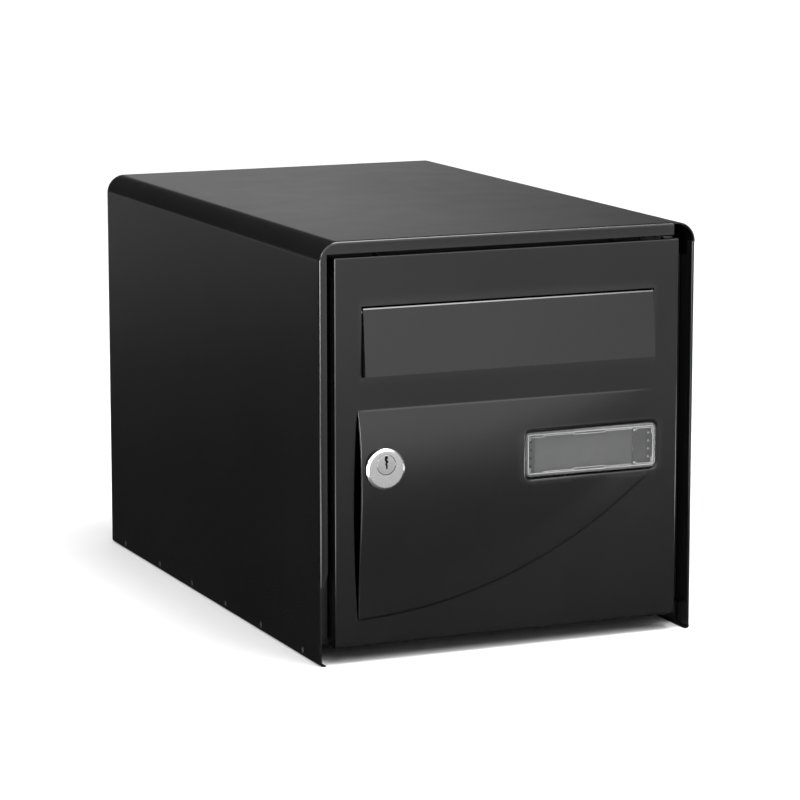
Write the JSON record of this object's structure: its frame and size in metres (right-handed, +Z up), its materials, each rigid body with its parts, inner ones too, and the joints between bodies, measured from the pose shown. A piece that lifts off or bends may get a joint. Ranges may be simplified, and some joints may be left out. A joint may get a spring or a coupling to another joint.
{
  "type": "lockable parcel and letter box",
  "caption": "Sheet-steel letter and small-parcel box with a lockable front door, an outward-opening letter flap, a pressed door field with finger pull, and a name plate.",
  "frame": {"origin": "middle of the box's footprint, at the foot of its side walls", "axes": "+Z up, +Y from the door to the back, +X to the hinge side seen from the front"},
  "size_m": [0.285, 0.4484, 0.293],
  "materials": {
    "paint": "black satin powder coat",
    "zinc": "bright zinc plating",
    "chrome": "bright nickel-chrome plating",
    "clear": "clear moulded plastic, glossy",
    "grey": "mid-grey matt card and moulding",
    "nylon": "natural nylon",
    "rubber": "soft black rubber"
  },
  "bodies": {
    "case": {"outer_shell": "paint", "floor_panel": "paint", "back_panel": "paint", "lock_side_jamb": "paint", "hinge_side_jamb": "paint", "header_rail": "paint", "door_bumper_left": "rubber", "door_bumper_right": "rubber", "floor_rivet_left_1": "zinc", "floor_rivet_left_2": "zinc", "floor_rivet_left_3": "zinc", "floor_rivet_left_4": "zinc", "floor_rivet_left_5": "zinc", "floor_rivet_left_6": "zinc", "floor_rivet_right_1": "zinc", "floor_rivet_right_2": "zinc", "floor_rivet_right_3": "zinc", "floor_rivet_right_4": "zinc", "floor_rivet_right_5": "zinc", "floor_rivet_right_6": "zinc", "lower_hinge_bracket": "zinc", "upper_hinge_bracket": "zinc", "lower_bracket_rivet_1": "zinc", "lower_bracket_rivet_2": "zinc", "upper_bracket_rivet_1": "zinc", "upper_bracket_rivet_2": "zinc", "lower_hinge_bush": "nylon", "upper_hinge_bush": "nylon"},
    "door": {"door_panel": "paint", "slot_guard": "paint", "flap_bracket_left": "zinc", "flap_bracket_right": "zinc", "flap_rod": "zinc", "nameplate_base": "grey", "name_card": "grey", "nameplate_cover": "clear", "lock_body": "chrome", "lock_nut": "zinc", "lower_hinge_pin": "zinc", "upper_hinge_pin": "zinc"},
    "flap": {"letter_flap": "paint"},
    "lock": {"lock_plug": "chrome", "lock_cam": "zinc", "cam_screw": "zinc"}
  },
  "joints": [
    {"name": "front_door", "type": "hinge", "parent": "case", "child": "door", "pos_m": [0.1245, -0.20776, 0.1466], "axis": [0, 0, 1], "range_deg": [0, 110]},
    {"name": "flap_pivot", "type": "hinge", "parent": "door", "child": "flap", "pos_m": [0, -0.21216, 0.2432], "axis": [-1, 0, 0], "range_deg": [0, 75]},
    {"name": "cam_lock", "type": "hinge", "parent": "door", "child": "lock", "pos_m": [-0.097, -0.21076, 0.1392], "axis": [0, 1, 0], "range_deg": [0, 90]}
  ]
}
